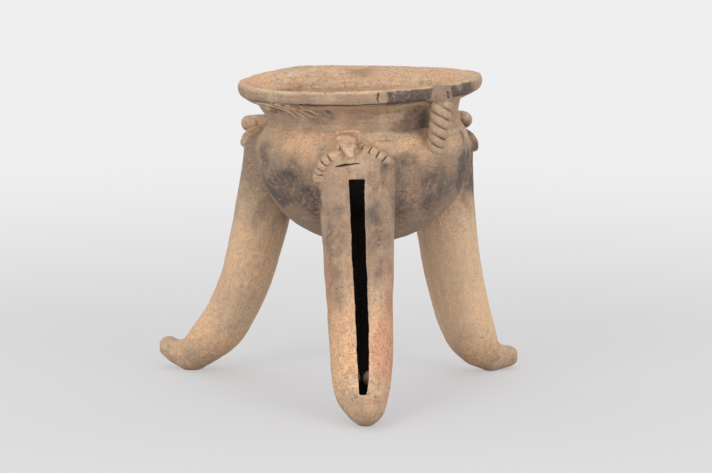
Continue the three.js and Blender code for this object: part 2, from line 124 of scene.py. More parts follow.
def leaning(azimuth=90.0):
    """A frame of the leaning bowl, with X turned to a compass direction counted from the front."""
    pivot = np.array([0, 0, BELLY_Z])
    lean = turned(-LEAN, "y")
    return Axes(lean @ turned(azimuth - 90, "z"), SHIFT + pivot - lean @ pivot)


VESSEL = leaning()


# Noise, blends and simple shapes

LATTICE = (np.random.default_rng(11).random((64, 64, 64)) * 2 - 1).astype(np.float32)


def noise(points, size, seed=0):
    """Smooth noise from about -1 to 1, whose swells are "size" apart."""
    q = points / np.float32(size) + np.float32(seed * 7.31)
    base = np.floor(q).astype(np.int32)
    f = (q - base).astype(np.float32)
    f = f * f * (3 - 2 * f)
    total = np.zeros(len(points), np.float32)
    for corner in np.ndindex(2, 2, 2):
        i = (base + np.array(corner, np.int32)) & 63
        weight = np.ones(len(points), np.float32)
        for axis in range(3):
            weight *= f[:, axis] if corner[axis] else 1 - f[:, axis]
        total += weight * LATTICE[i[:, 0], i[:, 1], i[:, 2]]
    return total * 1.5


def smooth_min(a, b, reach):
    h = np.maximum(reach - np.abs(a - b), 0) / reach
    return np.minimum(a, b) - h * h * h * reach / 6


def smooth_max(a, b, reach):
    return -smooth_min(-a, -b, reach)


def polar(local):
    """Angle and radius about a local frame's Z."""
    return np.arctan2(local[:, 1], local[:, 0]), np.hypot(local[:, 0], local[:, 1])


def step(low, high, value):
    s = np.clip((value - low) / (high - low), 0, 1)
    return s * s * (3 - 2 * s)


def unit(vectors):
    return vectors / np.linalg.norm(vectors, axis=-1)[..., None]


def oval(gaps, radii):
    """Distance from an ellipsoid, by the gaps from its centre and its three radii."""
    near = np.linalg.norm(gaps / radii, axis=1)
    slope = np.linalg.norm(gaps / (radii * radii), axis=1)
    return near * (near - 1) / np.maximum(slope, 1e-6)


def reach_from(points, centre, radii):
    """Distance from a centre, as a share of three radii."""
    q = (points - np.array(centre, np.float32)) / np.array(radii, np.float32)
    return np.linalg.norm(q, axis=1)


def ball(points, centre, radius):
    """A ball, or an ellipsoid where the radius has three values."""
    q = points - np.asarray(centre, np.float32)
    if np.isscalar(radius):
        return np.linalg.norm(q, axis=1) - radius
    return oval(q, np.asarray(radius, np.float32))


def rod(points, way, radii):
    """A round rod along a line of points, with a radius at each of them."""
    way = np.asarray(way, np.float32)
    best = np.full(len(points), 1e6, np.float32)
    for a, b, ra, rb in zip(way[:-1], way[1:], radii[:-1], radii[1:]):
        ab = b - a
        h = np.clip((points - a) @ ab / (ab @ ab), 0, 1)
        d = np.linalg.norm(points - a - h[:, None] * ab, axis=1) - (ra + (rb - ra) * h)
        best = np.minimum(best, d)
    return best


def tapered(radii, count):
    """A rod's radii at its start, middle and end, spread over a count of points."""
    return np.interp(np.linspace(0, 1, count), [0, 0.5, 1], radii)


def smoothed(way, count):
    """More points along a line, by a Catmull-Rom curve through it."""
    p = np.asarray(way, float)
    p = np.vstack([2 * p[0] - p[1], p, 2 * p[-1] - p[-2]])
    out = []
    spans = len(p) - 3
    for value in np.linspace(0, spans, count):
        i = min(int(value), spans - 1)
        t = value - i
        a, b, c, d = p[i:i + 4]
        out.append(0.5 * (2 * b + (c - a) * t + (2 * a - 5 * b + 4 * c - d) * t * t
                          + (3 * b - a - 3 * c + d) * t ** 3))
    return np.array(out)


# The bowl, neck and rim, as one profile turned about the leaning axis

class Profile:
    """Signed distance to a closed outline of (radius, height), read from a fine table."""

    STEP = 0.4

    def __init__(self, outline):
        self.low = np.array([-1.0, 108.0])
        self.shape = (300, 400)
        r = self.low[0] + self.STEP * np.arange(self.shape[0])
        z = self.low[1] + self.STEP * np.arange(self.shape[1])
        grid = np.stack(np.meshgrid(r, z, indexing="ij"), -1).reshape(-1, 2)
        nearest = np.full(len(grid), 1e6)
        inside = np.zeros(len(grid), bool)
        outline = np.asarray(outline, float)
        for a, b in zip(outline, np.roll(outline, -1, axis=0)):
            ab = b - a
            h = np.clip((grid - a) @ ab / max(ab @ ab, 1e-9), 0, 1)
            nearest = np.minimum(nearest, np.linalg.norm(grid - a - h[:, None] * ab, axis=1))
            crosses = (a[1] > grid[:, 1]) != (b[1] > grid[:, 1])
            rise = b[1] - a[1] if b[1] != a[1] else 1e-9
            inside ^= crosses & (grid[:, 0] < a[0] + (grid[:, 1] - a[1]) * (b[0] - a[0]) / rise)
        table = np.where(inside, -nearest, nearest).reshape(self.shape)
        for _ in range(2):
            for axis in (0, 1):
                before, after = np.roll(table, 1, axis), np.roll(table, -1, axis)
                table = 0.5 * table + 0.25 * (before + after)
        self.table = table.astype(np.float32)

    def __call__(self, radius, height):
        x = np.clip((radius - self.low[0]) / self.STEP, 0, self.shape[0] - 1.001)
        y = np.clip((height - self.low[1]) / self.STEP, 0, self.shape[1] - 1.001)
        i, j = x.astype(np.int32), y.astype(np.int32)
        u, v = x - i, y - j
        t = self.table
        return ((1 - u) * (1 - v) * t[i, j] + u * (1 - v) * t[i + 1, j]
                + (1 - u) * v * t[i, j + 1] + u * v * t[i + 1, j + 1])


def bowl_side(grow):
    """The bowl's outline from its base to the neck, moved out by "grow"."""
    side = []
    for angle in np.linspace(0, math.pi / 2, 40):
        r, drop = BOWL_RADIUS * math.sin(angle), BOWL_DEPTH * math.cos(angle)
        normal = np.array([r / BOWL_RADIUS ** 2, -drop / BOWL_DEPTH ** 2])
        side.append(np.array([r, BELLY_Z - drop]) + grow * unit(normal))
    top = math.asin((NECK_BASE_Z - BELLY_Z) / SHOULDER_RISE)
    for angle in np.linspace(0, top, 20)[1:]:
        out, rise = SHOULDER_REACH * math.cos(angle), SHOULDER_RISE * math.sin(angle)
        normal = np.array([out / SHOULDER_REACH ** 2, rise / SHOULDER_RISE ** 2])
        side.append(np.array([BOWL_RADIUS - SHOULDER_REACH + out, BELLY_Z + rise]) + grow * unit(normal))
    return side


def neck_side(grow):
    base = bowl_side(0)[-1][0]
    return [np.array([base + NECK_FLARE * s ** 1.7 + grow, NECK_BASE_Z + (NECK_TOP_Z - NECK_BASE_Z) * s])
            for s in np.linspace(0, 1, 12)]


# The rim's outline from the neck over the lip and back inside, as (radius, height)
RIM_OUTER = [[81.8, 238.8], [84.4, 240.2], [88.8, 241.6], [94.2, 243.9], [97.6, 246.4],
             [99.0, 249.0], [99.2, 252.4], [98.6, 255.4], [97.2, 256.5]]
RIM_INNER = [[94.6, 255.9], [89.0, 253.9], [83.4, 250.6], [79.0, 246.0], [76.6, 242.2], [75.8, 238.6]]
inner_side = [p for p in bowl_side(-BOWL_WALL) if p[1] < NECK_BASE_Z] + neck_side(-NECK_WALL)[:-1]
outer_side = bowl_side(0) + neck_side(0)[:-1] + list(smoothed(RIM_OUTER, 40))
half_wall = outer_side + list(smoothed(RIM_INNER, 24)) + inner_side[::-1]
mirrored = [np.array([-p[0], p[1]]) for p in half_wall]
WALL = Profile(half_wall + mirrored[::-1])
filled = bowl_side(0) + neck_side(0)[1:] + [np.array([84.0, 243.0])]
FILLED = Profile(filled + [np.array([-p[0], p[1]]) for p in filled[::-1]])

# Height of the rim's waves round the rim, by compass direction in degrees from +X: (direction, mm).
RIM_HEIGHTS = [(-180, 1.1), (-140, 0.4), (-90, 0.0), (-45, 0.3), (0, 0.3), (45, -1.2), (75, -1.0),
               (89, 0.2), (101, 1.2), (113, 2.3), (121, 3.4), (128, 3.2), (145, 1.6), (158, 0.8), (180, 1.1)]
RIM_ASIDE = 1.7


def rim_wave(angle):
    """How much higher or lower the rim runs at each angle."""
    places, heights = zip(*RIM_HEIGHTS)
    return np.interp(np.degrees(angle), places, heights).astype(np.float32)


def hand_shaped(local):
    """Radius and height in the profile, with the swells and dips of a pot that was built by hand."""
    x, y, z = local.T
    high = step(222, 246, z)
    x = x + RIM_ASIDE * high
    angle = np.arctan2(y, x)
    radius = np.hypot(x, y)
    low = step(235, 175, z)
    swell = 0.9 * np.sin(2 * angle + 0.6) + 0.6 * np.sin(3 * angle + 2.1)
    radius = radius - high * 0.5 * np.sin(5 * angle + 1.0) - low * swell * 0.6
    radius = radius - 2.4 * step(226, 239, z) * step(246, 240, z) * step(0.2, 0.9, -np.cos(angle))
    height = z - high * rim_wave(angle)
    return radius, height


def wall(points):
    return WALL(*hand_shaped(VESSEL.local(points)))


def filled_bowl(points):
    return FILLED(*hand_shaped(VESSEL.local(points)))


# Legs

# Along each leg: how far its line bows outwards past the plain curve, and how much fuller it is, in mm.
BOW = {
    "front": [(0, 0), (1, 0)],
    "right": [(0, 0.3), (0.3, 0.6), (0.6, -0.3), (0.75, 0.0), (0.88, 1.6), (1, 4.2)],
    "left": [(0, 3.6), (0.2, 4.2), (0.32, 3.2), (0.45, 1.2), (0.6, 1.2), (0.72, 1.8), (0.82, 3.6),
             (0.9, 3.6), (1, 1.2)],
}
FULLER = {
    "front": [(0, 0), (0.2, 0.8), (0.75, 0.6), (0.9, 0.4), (0.96, 0.2), (1, -1.6)],
    "right": [(0, 0.5), (0.2, 1.8), (0.5, 2.0), (0.72, 2.0), (0.85, 0.6), (1, -0.6)],
    "left": [(0, 0.2), (0.3, 0.3), (0.6, 0.2), (0.74, 1.4), (0.85, 0.5), (1, 0)],
}
TIP_ASIDE = {"front": 2.4, "right": 0.0, "left": 0.0}
# How far the middle of each slit drifts to the right on its way down
SLIT_DRIFT = {"front": 1.6, "right": -0.8, "left": 1.0}
SLIT_LENGTH = 186.0


class Leg:
    """The distance to a leg's oval tube, with places along and round it."""

    def __init__(self, name):
        leg = LEGS[name]
        self.name = name
        self.axes = Axes(turned(leg["azimuth"] - 90, "z"), SHIFT)
        hip = np.array([leg["hip"], leg["sway"], HIP_Z])
        foot = np.array([leg["reach"], 0, FOOT_Z])
        self.ends = [hip, hip + [leg["knee"], -leg["sway"] / 3, -88.0], foot + [-leg["ankle"], 0, 4.0], foot]
        self.samples = np.linspace(0, 1, 61)
        self.line = self.at(self.samples)

    def at(self, t):
        a, b, c, d = self.ends
        v = self.speed(t)
        bow = np.interp(t, *zip(*BOW[self.name]))
        t = np.asarray(t)[:, None]
        line = a * (1 - t) ** 3 + 3 * b * t * (1 - t) ** 2 + 3 * c * t * t * (1 - t) + d * t ** 3
        return line + self.outward(v) * bow[:, None]

    def outward(self, v):
        """Across the leg's way, in its own plane and away from the bowl."""
        return unit(np.stack([-v[:, 2], np.zeros(len(v)), v[:, 0]], 1))

    def speed(self, t):
        a, b, c, d = self.ends
        t = np.asarray(t)[:, None]
        return 3 * ((b - a) * (1 - t) ** 2 + 2 * (c - b) * t * (1 - t) + (d - c) * t * t)

    def places(self, points):
        """Along (0 to 1), past the ends in mm, out from the middle and across, in mm."""
        local = self.axes.local(points)
        half_squares = 0.5 * (self.line ** 2).sum(1).astype(np.float32)
        i = np.argmax(local @ self.line.T.astype(np.float32) - half_squares, axis=1)
        v = self.speed(self.samples[i])
        length = np.linalg.norm(v, axis=1)
        t = self.samples[i] + ((local - self.line[i]) * v).sum(1) / length ** 2
        at = np.clip(t, 0, 1)
        v = unit(self.speed(at))
        gap = local - self.at(at)
        past = (gap * v).sum(1)
        past = np.where((t < 0) | (t > 1), past, 0)
        return tuple(a.astype(np.float32) for a in (at, past, (gap * self.outward(v)).sum(1), gap[:, 1]))

    def tube(self, places, grow=0.0, end=1.0, tip=LEG_TIP):
        """Distance from the leg's oval skin, moved out by "grow", with a dome at its hip."""
        at, past, out, side = places
        fuller = np.interp(at, *zip(*FULLER[self.name])).astype(np.float32)
        half_out = 20 + 3.5 * (1 - at) ** 3 - 6.5 * at ** 4 + grow + fuller
        half_side = 24.3 + 7.7 * (1 - at) ** 3 - 12 * at ** 6 + grow + fuller
        side = side - TIP_ASIDE[self.name] * step(0.84, 1.0, at)
        over = past + np.where(at > end, (at - end) * 200, 0)
        half_along = np.where(over < 0, LEG_DOME + grow, tip + grow)
        return oval(np.stack([out, side, over], 1), np.stack([half_out, half_side, half_along], 1))

    def body(self, points):
        return self.tube(self.places(points))

    def slit(self, points, places):
        """Distance from the tall cut in the leg's outer face."""
        at, past, out, side = places
        share = (at - 0.045) / 0.915
        inside = np.clip(share, 0, 1)
        width = 12.6 - 3.4 * inside ** 0.6 - 4.6 * inside ** 5
        width = width + 0.55 * noise(points, 8.0, 3) + 0.3 * noise(points, 2.6, 18)
        drift = SLIT_DRIFT[self.name] * np.sin(inside * 2.6) ** 2
        sides = np.abs(side - drift) - width / 2
        d = smooth_max(smooth_max(sides, -share * SLIT_LENGTH, 2.0), (share - 1) * SLIT_LENGTH, 6.0)
        return np.maximum(d, -out)


LEG = {name: Leg(name) for name in LEGS}


def hand_marks(points, amount=FINGER_MARKS):
    """Small swells from the fingers that shaped the clay."""
    return amount * (0.45 * noise(points, 24, 1) + 0.22 * noise(points, 9, 2) + 0.1 * noise(points, 3.5, 4))


def luted(own, base, reach, sunk=1.0):
    """A piece that swells into what it was pressed onto, and dives under its surface all round."""
    joined = smooth_min(own, base, reach)
    joined = joined + 0.3 * step(0.35 * reach, reach, own)
    return np.maximum(np.maximum(joined, -(base + sunk)), own - reach)


def leg_distance(name, points):
    leg = LEG[name]
    places = leg.places(points)
    own = leg.tube(places) + hand_marks(points)
    d = luted(own, filled_bowl(points) + hand_marks(points), LEG_FILLET)
    hollow = leg.tube(places, grow=-LEG_WALL, end=0.93, tip=12.0)
    d = np.maximum(d, -hollow)
    d = smooth_max(d, -leg.slit(points, places), 1.0)
    if name == "front":
        d = smooth_max(d, -np.maximum(front_cut(points), -(own + 1.6)), 0.4)
    return d


def front_cut(points):
    """Distance from the line incised under the front figure's chin, seen from the front."""
    behind = np.where(points[:, 1:2] > -45, 50, 0).astype(np.float32)
    flat = points * np.array([1, 0, 1], np.float32) - behind
    way = [(-1.6, 0, 197.0), (3.0, 0, 197.9), (8.0, 0, 199.1), (13.0, 0, 199.8), (18.0, 0, 200.3)]
    radii = np.interp(np.linspace(0, 1, 12), [0, 0.35, 0.75, 1], [0.25, 1.0, 0.7, 0.2])
    return rod(flat, smoothed(way, 12), radii)


# Each toe: how far its root lies past the leg's end, the heights of its root and tip, and the radii there.
TOES = {
    "front": dict(past=0.0, root=12.4, tip=17.4, radii=(10.8, 9.6, 7.4)),
    "right": dict(past=3.0, root=11.0, tip=10.2, radii=(11.2, 10.4, 9.0)),
    "left": dict(past=0.0, root=12.0, tip=17.6, radii=(11.6, 10.6, 8.8)),
}


def toe_distance(name, points):
    """A rolled nub that turns up, with a small nick on the rear ones."""
    leg = LEG[name]
    shape, toe = LEGS[name], TOES[name]
    turn = math.radians(shape["toe_turn"])
    ahead = np.array([math.cos(turn), math.sin(turn), 0])
    root = np.array([shape["reach"] + toe["past"], TIP_ASIDE[name], toe["root"]])
    reach = 20.6 - toe["past"]
    mid = root + 0.55 * reach * ahead
    tip = root + reach * ahead + [0, 0, toe["tip"] - toe["root"]]
    t = np.linspace(0, 1, 14)[:, None]
    way = root * (1 - t) ** 2 + 2 * mid * t * (1 - t) + tip * t * t
    radii = tapered(toe["radii"], len(way))
    nick = tip + [-9.5, -3.0 if name == "left" else 2.0, 8.6]
    nick_way = [nick - [0, 6, 1.4], nick, nick + [0, 6, -1.4]]
    local = leg.axes.local(points)
    own = rod(local, way, radii) + hand_marks(points, 0.5)
    if name != "front":
        own = smooth_max(own, -rod(local, nick_way, [0.5, 1.0, 0.5]), 1.2)
    d = luted(own, leg.body(points) + hand_marks(points), 11.0)
    return smooth_max(d, -leg.slit(points, leg.places(points)), 1.0)


# Animal figures

def under_figure(name, points):
    """The skin that a figure lies on: the top of its leg, with the bowl."""
    leg = LEG[name]
    marks = hand_marks(points)
    return smooth_min(leg.body(points) + marks, filled_bowl(points) + marks, LEG_FILLET)


# Each head: how far the snout points aside, how much longer it is, how it is raised at its root and its tip,
# and how much blunter the snout is.
HEADS = {
    "front": dict(side=4.4, longer=0.0, root=0.0, tip=0.0, blunt=0.0),
    "right": dict(side=0.0, longer=0.0, root=-0.5, tip=4.0, blunt=3.4),
    "left": dict(side=-1.0, longer=5.6, root=2.8, tip=8.2, blunt=3.4),
}


def head_axes(name):
    return leaning(LEGS[name]["azimuth"] + LEGS[name]["head"])


def wedge(q, side):
    """The front head's block: wide and flat on top, narrowing down to a snout that juts out."""
    x, y, z = q.T
    aside = side * np.clip((220 - z) / 13, 0, 1)
    wide = np.abs(y - aside) - np.interp(z, [203, 208, 213, 218, 221], [2.4, 3.6, 5.6, 8.2, 8.0])
    ahead = x - np.interp(z, [202, 206.5, 212, 221], [103.2, 105.8, 102.2, 95.0])
    block = smooth_max(smooth_max(0.85 * wide, 0.85 * ahead, 5.0), smooth_max(z - 221.6, 203.2 - z, 1.0), 5.0)
    return block + 0.3 * noise(q, 8, 19)


def head_distance(name, points):
    axes = head_axes(name)
    head = HEADS[name]
    side, root, longer = head["side"], head["root"], head["longer"]
    snout = [(88, 0, 215.0 + root), (96 + longer / 2, 0.5 * side, 213.6 + (root + head["tip"]) / 2),
             (103.0 + longer, side, 208.2 + head["tip"])]
    q = axes.local(points)
    if name == "front":
        own = wedge(q, side)
        for sign in (-1, 1):
            ends = [(96, 0.3 * side + sign * 7.0, 216), (102, 0.75 * side + sign * 4.2, 209)]
            own = smooth_max(own, -rod(q, ends, [1.0, 0.7]), 0.6)
    else:
        skull = ball(q, (87.0, 0.0, 213.4 + root), (11.5, 7.4, 8.6))
        brow = ball(q, (92.5, 0.2 * side, 215.6 + root), (8.2, 7.8, 6.4))
        muzzle = rod(q, snout, [6.6, 5.6 + head["blunt"] / 3, 3.4 + head["blunt"]])
        own = smooth_min(smooth_min(skull, brow, 5), muzzle, 3.0)
        own = smooth_max(own, q[:, 2] - root - 221.2 + 0.06 * (q[:, 0] - 90), 1.6)
    own = own + 0.12 * noise(points, 6, 5)
    return luted(own, under_figure(name, points), 3.2, 0.8)


def eye_distance(name, sign, points):
    axes = head_axes(name)
    head = HEADS[name]
    place = np.array([96.8 + 0.4 * head["longer"], sign * 6.6 + 0.3 * head["side"], 213.6 + head["tip"] / 2])
    size = (3.0, 1.7, 3.4) if name == "front" else (3.8, 3.4, 3.8)
    q = axes.local(points)
    own = ball(q, place, size) + 0.12 * noise(points, 4, 6)
    pupil = ball(q, place + [0.4, sign * (size[1] + 0.6), 0.3], 1.1)
    return smooth_max(own, -pupil, 0.6)


# Each arm: heights over the hip with the direction there, in degrees from the leg's outer side, how far its
# centre stands off the leg at its two ends, its radii, and the shares of its length where fingers are cut.
PLAIN_ARM = dict(path=[(10.8, 24), (8.3, 30), (5, 39), (0, 49), (-4.5, 54)], lift=(0.8, 1.2),
                 radii=(3.6, 4.4, 4.2), cuts=(0.4, 0.6, 0.8))
ARMS = {
    "front_left": dict(path=[(10.5, 20), (8.1, 34), (5, 42), (0.8, 51), (-3.5, 62), (-7.5, 70)],
                       lift=(0.5, 1.1), radii=(3.4, 4.7, 4.3), cuts=(0.42, 0.57, 0.72, 0.87)),
    "front_right": dict(path=[(12.2, 14), (11.2, 25), (9.2, 34), (6.4, 41), (3.2, 46)],
                        lift=(0.4, 0.9), radii=(4.0, 4.7, 4.4), cuts=(0.2, 0.44, 0.68, 0.92)),
    "right_left": dict(path=[(12.2, 24), (9.0, 33), (4.0, 40), (-1.5, 44)],
                       lift=(2.6, 1.8), radii=(3.6, 3.4, 3.4), cuts=()),
    "left_right": dict(path=[(12.2, 18), (9.0, 30), (5.0, 37), (0.5, 42)],
                       lift=(0.6, -1.2), radii=(3.6, 4.2, 4.8), cuts=()),
}


def arm_way(name, sign, arm):
    """Points along an arm in the leg's frame."""
    leg = LEG[name]
    way = []
    for i, (height, degrees) in enumerate(arm["path"]):
        share = i / (len(arm["path"]) - 1)
        lift = arm["lift"][0] + (arm["lift"][1] - arm["lift"][0]) * share
        dome = max(height, 0.0)
        at = max(-height, 0.0) / (HIP_Z - FOOT_Z)
        scale = math.sqrt(1 - (dome / LEG_DOME) ** 2)
        half_out = (20 + 3.5 * (1 - at) ** 3) * scale + lift
        half_side = (24.3 + 7.7 * (1 - at) ** 3) * scale + lift
        centre = leg.at([at])[0]
        v = unit(leg.speed([at])[0])
        out = unit(np.cross(v, [0, 1, 0]))
        angle = sign * math.radians(degrees)
        across = np.array([0, half_side * math.sin(angle), 0])
        way.append(centre - dome * v + out * half_out * math.cos(angle) + across)
    return smoothed(way, 17)


def arm_distance(name, side_name, points):
    sign = -1 if side_name == "left" else 1
    leg = LEG[name]
    arm = ARMS.get(f"{name}_{side_name}", PLAIN_ARM)
    way = arm_way(name, sign, arm)
    radii = tapered(arm["radii"], len(way))
    up = np.array([0.8, 0, 0.6])
    cuts = []
    for share in arm["cuts"]:
        value = share * (len(way) - 1)
        i = min(int(value), len(way) - 2)
        along = unit(way[i + 1] - way[i])
        centre = way[i] + (value - i) * (way[i + 1] - way[i])
        facing = unit(up - along * (up @ along))
        cuts.append((centre + facing * 3.9, along, facing))
    q = leg.axes.local(points)
    own = rod(q, way, radii) + 0.25 * noise(points, 5, 7)
    d = luted(own, under_figure(name, points), 2.6, 0.8)
    for centre, along, facing in cuts:
        gap = q - centre.astype(np.float32)
        ways = ((along, 0.6), (facing, 3.0), (np.cross(along, facing), 4.4))
        blade = np.max([np.abs(gap @ way) - half for way, half in ways], axis=0)
        d = smooth_max(d, -blade, 1.5)
    return d


# Rope handles

STRAND_LEAD = 15.0
STRAND_OFFSET = 4.1
STRAND_RADII = (4.5, 4.4, 4.2)
PAD_TOP_Z = {"right": 253.4, "back": 250.0}

# Where a crumb broke out of the right handle's top pad, in the handle's frame
CHIP = (105.6, -5.8, 249.4)


class Handle:
    """The line of a rope handle and the directions across it, in a frame that faces it."""

    def __init__(self, azimuth):
        self.axes = leaning(azimuth)
        path = [(98.8, 242.0, -3.7), (97.8, 229.3, -4.6), (95.0, 217.2, -4.7), (88.8, 204.0, -3.8)]
        way = [(r * math.cos(math.radians(a)), r * math.sin(math.radians(a)), z) for r, z, a in path]
        self.line = smoothed(way, 90)
        steps = np.linalg.norm(np.diff(self.line, axis=0), axis=1)
        self.length = np.concatenate([[0], np.cumsum(steps)])
        self.along = unit(np.gradient(self.line, axis=0))
        side = np.array([0.0, 1.0, 0.0])
        self.across = unit(side - self.along * (self.along @ side)[:, None])
        self.out = np.cross(self.across, self.along)

    def strand(self, phase):
        angle = (phase - 2 * math.pi * self.length / STRAND_LEAD)[:, None]
        return self.line + STRAND_OFFSET * (self.out * np.cos(angle) + self.across * np.sin(angle))


HANDLE = {name: Handle(azimuth) for name, azimuth in HANDLES.items()}


def strand_distance(name, phase, points):
    """One of a rope's two strands, parted from its twin by a groove."""
    handle = HANDLE[name]
    way = handle.strand(phase)
    other = handle.strand(phase + math.pi)
    radii = tapered(STRAND_RADII, len(way))
    q = handle.axes.local(points)
    own = rod(q, way, radii) + 0.2 * noise(points, 5, 8)
    twin = rod(q, other, radii)
    d = smooth_max(own, (own - twin) / 2 + 0.05, 1.6)
    return np.maximum(d, -(wall(points) + 0.8))


def pad_distance(name, at_top, points):
    """The pad of clay that was pressed over a rope's end."""
    handle = HANDLE[name]
    end = handle.line[0] if at_top else handle.line[-1]
    along = -handle.along[0] if at_top else handle.along[-1]
    length = 11.0 if at_top else 14.0
    bend = np.array([-0.6, 0, 0]) if at_top else np.array([-0.5, 0, -4.0])
    way = np.array([end + along * 1.5, end + along * length * 0.55, end + along * length + bend])
    way = smoothed(way, 8)
    radii = tapered([7.2, 7.4, 6.6] if at_top else [7.8, 8.8, 6.6], len(way))
    q = handle.axes.local(points)
    own = rod(q, way, radii) + 0.35 * noise(points, 7, 9)
    own = smooth_max(own, q[:, 2] - PAD_TOP_Z[name], 3.5) if at_top else own
    d = luted(own, wall(points) + hand_marks(points, 0.5), 7.0 if at_top else 9.0, 0.8)
    if at_top and name == "right":
        d = np.maximum(d, -(ball(q, CHIP, (3.6, 2.4, 3.6)) + 0.6 * noise(points, 3, 10)))
    return d


# Bowl, neck and rim pieces

def wall_piece(low, high, points):
    """The part of the wall between two heights over the leaning axis."""
    local = VESSEL.local(points)
    radius, height = hand_shaped(local)
    d = WALL(radius, height) + hand_marks(points)
    if low > 200:
        d = d + scar(points, radius, height) + ring_marks(local) + crease(points, radius, height)
    return np.maximum(np.maximum(d, low - height), height - high)


def crease(points, radius, height):
    """Depth of the fold under the front of the lip, where its coil was pressed onto the neck."""
    fold = 0.9 * noise(points, 12, 16)
    gap = np.hypot(radius - 96.6, height - 245.6 + 0.4 * fold) - 1.1 - 0.5 * fold
    return step(10, -30, points[:, 1]) * np.maximum(-gap, 0) * 1.3


def painted_shade_and_pale(points):
    """Painted shade in the tears, in the fold under the lip, in the lip's breaks and on the neck beside the
    right handle, and painted highlights on the edges where skins of clay lift.
    """
    radius, height = hand_shaped(VESSEL.local(points))
    inside, skin = torn_skin(points, radius, height)
    # Painted shade in the torn skins, in the fold under the lip and in the lip's breaks.
    shade_paint = inside * np.maximum(0.35 * step(0.3, 0.8, skin), step(0.7, 0.97, skin))
    shade_paint = np.maximum(shade_paint, step(0.05, 0.6, crease(points, radius, height)) * 0.9)
    shade_paint = np.maximum(shade_paint, step(0.3, -0.4, lip_breaks(points)))
    # Painted shadow on the neck behind the right handle's rope.
    beside_rope = ball(points, (69.0, -12.0, 226.0), (7.0, 14.0, 15.0)) + 1.5 * noise(points, 7, 20)
    shade_paint = np.maximum(shade_paint, 0.85 * step(3.0, -4.0, beside_rope))
    # The second value is a painted highlight on the lifted skin edges.
    return shade_paint, inside * step(0.35, 0.05, skin)


def ring_marks(local):
    """Shallow marks of the smoothing that ran round the neck and rim."""
    angle, radius = polar(local)
    q = np.stack([angle * 8, local[:, 2] * 0.9, radius * 0.4], 1).astype(np.float32)
    return 0.16 * noise(q, 1.6, 12)


def torn_skin(points, radius, height):
    """Where skins tore under the rim, from 0 to 1, and how deep each place lies under its skin's edge."""
    middle = np.interp(height, [221, 238, 242, 246, 250], [73.5, 78, 82, 88, 92])
    reach = reach_from(points, [-40.0, -22.0, 238.5], [38, 36, 7.6]) + 0.22 * noise(points, 9, 15)
    inside = step(1.1, 0.75, reach) * step(-1, 1, radius - middle)
    x, y, z = points.T
    rise = (z + 0.38 * x + 3.0 * noise(points, 17, 13) + 1.2 * noise(points, 6, 17)) / 4.6
    skin = rise - np.floor(rise)
    return inside, skin * step(1.0, 0.92, skin)


def lip_breaks(points):
    """Distance from the crevice behind the lip's fold and from the crack in the lip."""
    crevice = [(-34, -41.0, 245.2), (-22, -48.6, 244.2), (-6, -54.4, 244.4), (16, -57.4, 245.2)]
    crack = [(32.0, -57.0, 257.0), (32.4, -60.0, 253.6), (31.6, -60.2, 250.6), (33.4, -59.6, 246.8)]
    return np.minimum(rod(points, crevice, [0.7, 2.2, 1.1, 0.6]), rod(points, crack, [0.7, 1.1, 0.8, 0.6]))


def scar(points, radius, height):
    """How deep the tears under the rim and the breaks in the lip are."""
    inside, skin = torn_skin(points, radius, height)
    return inside * (2.3 * skin - 0.9) + np.maximum(-lip_breaks(points), 0) * 1.8


# Meshing

def new_object(name, data):
    obj = bpy.data.objects.new(name, data)
    bpy.context.scene.collection.objects.link(obj)
    return obj


BOUNDS_LOW, BOUNDS_HIGH = (np.array(side) * 1000 for side in size_at_load)


def in_chunks(distance, points, size=300000):
    return np.concatenate([distance(points[i:i + size]) for i in range(0, len(points), size)])


def surface(distance, low, high, pitch):
    """Vertices (mm) and quads of the zero level, looked for only where a coarse grid comes near it."""
    def bounded(points):
        d = distance(points)
        d = np.maximum(d, (BOUNDS_LOW + BOX_ROOM - points).max(1))
        return np.maximum(d, (points - BOUNDS_HIGH + BOX_ROOM).max(1)).astype(np.float32)

    k = 4
    coarse = k * pitch
    start = np.asarray(low) - 2 * coarse
    count = np.ceil((np.asarray(high) + 2 * coarse - start) / coarse).astype(int) + 1
    axes = [start[i] + coarse * np.arange(count[i]) for i in range(3)]
    nodes = np.stack(np.meshgrid(*axes, indexing="ij"), -1).reshape(-1, 3).astype(np.float32)
    rough = in_chunks(bounded, nodes).reshape(count)
    cells = count - 1
    least = np.full(cells, 1e9, np.float32)
    for corner in np.ndindex(2, 2, 2):
        part = rough[tuple(slice(c, c + n) for c, n in zip(corner, cells))]
        least = np.minimum(least, np.abs(part))
    near = np.argwhere(least < coarse * 1.25)
    fill = np.clip(rough[:-1, :-1, :-1], -3 * pitch, 3 * pitch)
    dense = fill.repeat(k, 0).repeat(k, 1).repeat(k, 2)
    offsets = np.stack(np.meshgrid(*[np.arange(k)] * 3, indexing="ij"), -1).reshape(-1, 3)
    fine = (near[:, None] * k + offsets[None]).reshape(-1, 3)
    values = in_chunks(bounded, (start + fine * pitch).astype(np.float32))
    dense[fine[:, 0], fine[:, 1], fine[:, 2]] = np.clip(values, -3 * pitch, 3 * pitch)
    grid = openvdb.FloatGrid(float(3 * pitch))
    grid.copyFromArray(np.ascontiguousarray(dense))
    vertices, quads = grid.convertToQuads()
    return vertices * pitch + start, quads


def largest_part(vertices, quads):
    """Only the largest connected part of a mesh, without loose crumbs."""
    label = np.arange(len(vertices))
    while True:
        least = label[quads].min(1)
        new = label.copy()
        np.minimum.at(new, quads.ravel(), np.repeat(least, 4))
        new = new[new]
        if np.array_equal(new, label):
            break
        label = new
    names, sizes = np.unique(label[quads[:, 0]], return_counts=True)
    keep = label[quads[:, 0]] == names[np.argmax(sizes)]
    quads = quads[keep]
    used, flat = np.unique(quads.ravel(), return_inverse=True)
    return vertices[used], flat.reshape(-1, 4)


pieces = {}


